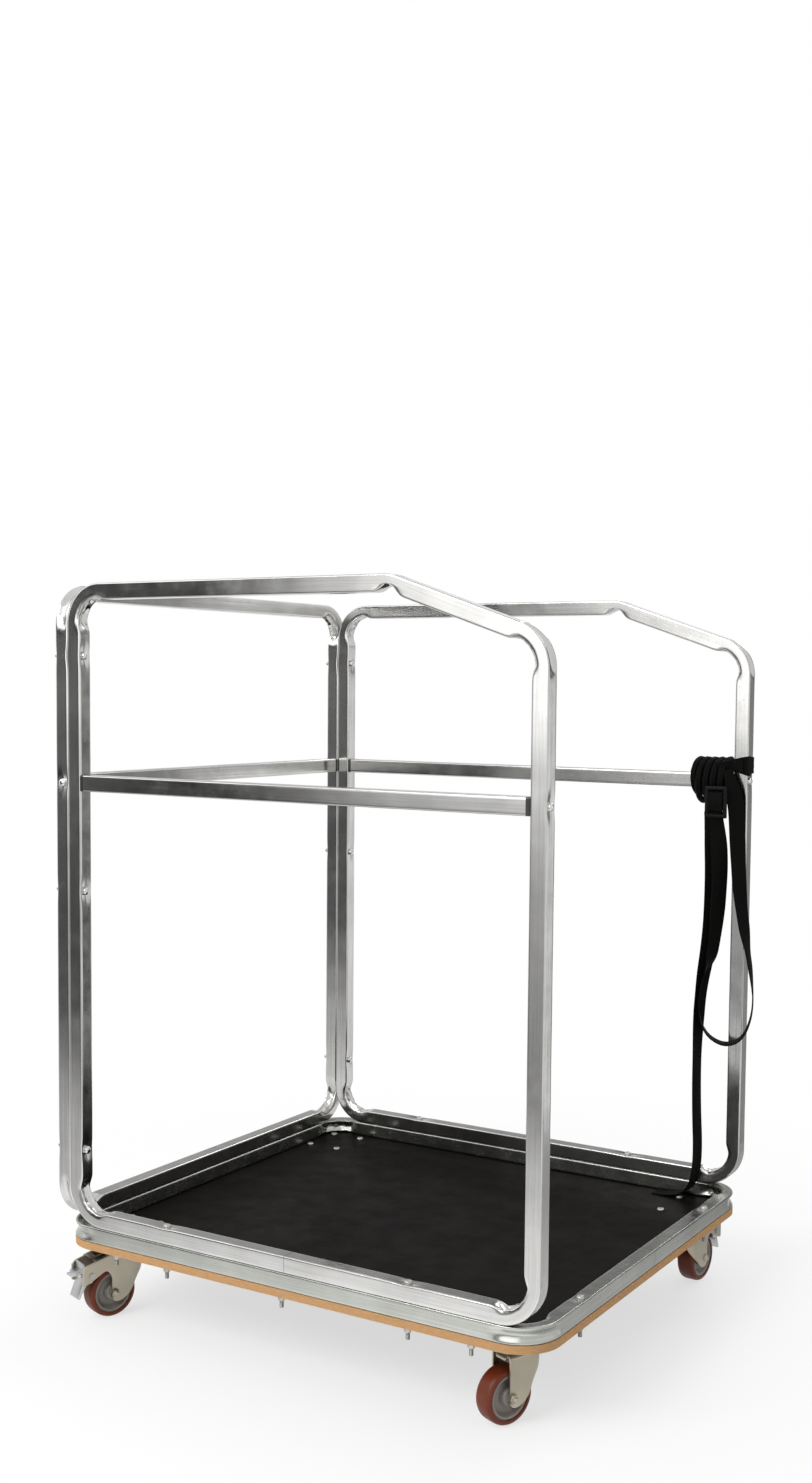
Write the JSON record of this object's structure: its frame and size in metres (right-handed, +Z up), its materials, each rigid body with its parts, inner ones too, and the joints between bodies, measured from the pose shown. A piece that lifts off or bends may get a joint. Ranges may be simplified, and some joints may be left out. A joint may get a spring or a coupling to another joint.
{
  "type": "table trolley",
  "caption": "Table trolley: film-faced plywood deck on swivel castors, bent square-tube frames with crossbars round an open-ended load bay, and a lashing strap.",
  "frame": {"origin": "on the floor, under the middle of the deck", "axes": "+X to the open right-hand end, +Y from the front frame to the rear frame, +Z up"},
  "size_m": [0.8959, 0.8063, 1.159],
  "materials": {
    "film_ply": "film-faced birch plywood, dark brown face, bare edge",
    "frame_tube": "bright zinc",
    "ring_tube": "bright zinc, duller",
    "fasteners": "zinc plated",
    "castor_steel": "zinc plated, slightly yellowed",
    "black_plastic": "moulded",
    "tread": "red-brown cast tread",
    "hub_plastic": "grey moulded",
    "webbing": "woven polyester",
    "buckle_plastic": "moulded"
  },
  "bodies": {
    "trolley": {"base_ring": "ring_tube", "castor_bolts": "fasteners", "castor_kingpins": "fasteners", "castor_nuts": "fasteners", "castor_plates": "castor_steel", "crossbar_plugs": "black_plastic", "crossbar_screws": "fasteners", "deck_board": "film_ply", "deck_bolts": "fasteners", "deck_nuts": "fasteners", "deck_washers": "fasteners", "front_crossbar": "frame_tube", "front_frame": "frame_tube", "joint_sleeves": "frame_tube", "post_bolts": "fasteners", "post_nuts": "fasteners", "rear_crossbar": "frame_tube", "rear_frame": "frame_tube", "side_crossbar": "frame_tube", "side_frame": "frame_tube", "strap_band": "webbing", "strap_buckle": "buckle_plastic", "strap_loop": "webbing", "strap_tail": "webbing", "strap_winding": "webbing"},
    "front_left_swivel": {"front_left_axle_bolt": "fasteners", "front_left_axle_bush": "fasteners", "front_left_axle_nut": "fasteners", "front_left_brake_pin": "fasteners", "front_left_fork": "castor_steel", "front_left_swivel_balls": "fasteners"},
    "front_left_wheel": {"front_left_hub": "hub_plastic", "front_left_tread": "tread"},
    "front_left_brake": {"front_left_brake_pedal": "castor_steel"},
    "front_right_swivel": {"front_right_axle_bolt": "fasteners", "front_right_axle_bush": "fasteners", "front_right_axle_nut": "fasteners", "front_right_fork": "castor_steel", "front_right_swivel_balls": "fasteners"},
    "front_right_wheel": {"front_right_hub": "hub_plastic", "front_right_tread": "tread"},
    "rear_left_swivel": {"rear_left_axle_bolt": "fasteners", "rear_left_axle_bush": "fasteners", "rear_left_axle_nut": "fasteners", "rear_left_fork": "castor_steel", "rear_left_swivel_balls": "fasteners"},
    "rear_left_wheel": {"rear_left_hub": "hub_plastic", "rear_left_tread": "tread"},
    "rear_right_swivel": {"rear_right_axle_bolt": "fasteners", "rear_right_axle_bush": "fasteners", "rear_right_axle_nut": "fasteners", "rear_right_brake_pin": "fasteners", "rear_right_fork": "castor_steel", "rear_right_swivel_balls": "fasteners"},
    "rear_right_wheel": {"rear_right_hub": "hub_plastic", "rear_right_tread": "tread"},
    "rear_right_brake": {"rear_right_brake_pedal": "castor_steel"}
  },
  "joints": [
    {"name": "front_left_swivel_turn", "type": "hinge", "parent": "trolley", "child": "front_left_swivel", "pos_m": [-0.3595, -0.292, 0.114], "axis": [0, 0, 1], "continuous": true},
    {"name": "front_left_wheel_roll", "type": "hinge", "parent": "front_left_swivel", "child": "front_left_wheel", "pos_m": [-0.37181, -0.32583, 0.04], "axis": [0.9397, -0.342, 0], "continuous": true},
    {"name": "front_left_brake_press", "type": "hinge", "parent": "front_left_swivel", "child": "front_left_brake", "pos_m": [-0.38549, -0.36342, 0.076], "axis": [0.9397, -0.342, 0], "range_deg": [0, 25]},
    {"name": "front_right_swivel_turn", "type": "hinge", "parent": "trolley", "child": "front_right_swivel", "pos_m": [0.3595, -0.292, 0.114], "axis": [0, 0, 1], "continuous": true},
    {"name": "front_right_wheel_roll", "type": "hinge", "parent": "front_right_swivel", "child": "front_right_wheel", "pos_m": [0.34601, -0.32538, 0.04], "axis": [0.9272, -0.3746, 0], "continuous": true},
    {"name": "rear_left_swivel_turn", "type": "hinge", "parent": "trolley", "child": "rear_left_swivel", "pos_m": [-0.3595, 0.292, 0.114], "axis": [0, 0, 1], "continuous": true},
    {"name": "rear_left_wheel_roll", "type": "hinge", "parent": "rear_left_swivel", "child": "rear_left_wheel", "pos_m": [-0.36264, 0.32786, 0.04], "axis": [-0.9962, -0.0872, 0], "continuous": true},
    {"name": "rear_right_swivel_turn", "type": "hinge", "parent": "trolley", "child": "rear_right_swivel", "pos_m": [0.3595, 0.292, 0.114], "axis": [0, 0, 1], "continuous": true},
    {"name": "rear_right_wheel_roll", "type": "hinge", "parent": "rear_right_swivel", "child": "rear_right_wheel", "pos_m": [0.36264, 0.32786, 0.04], "axis": [-0.9962, 0.0872, 0], "continuous": true},
    {"name": "rear_right_brake_press", "type": "hinge", "parent": "rear_right_swivel", "child": "rear_right_brake", "pos_m": [0.36612, 0.36771, 0.076], "axis": [-0.9962, 0.0872, 0], "range_deg": [0, 25]}
  ]
}
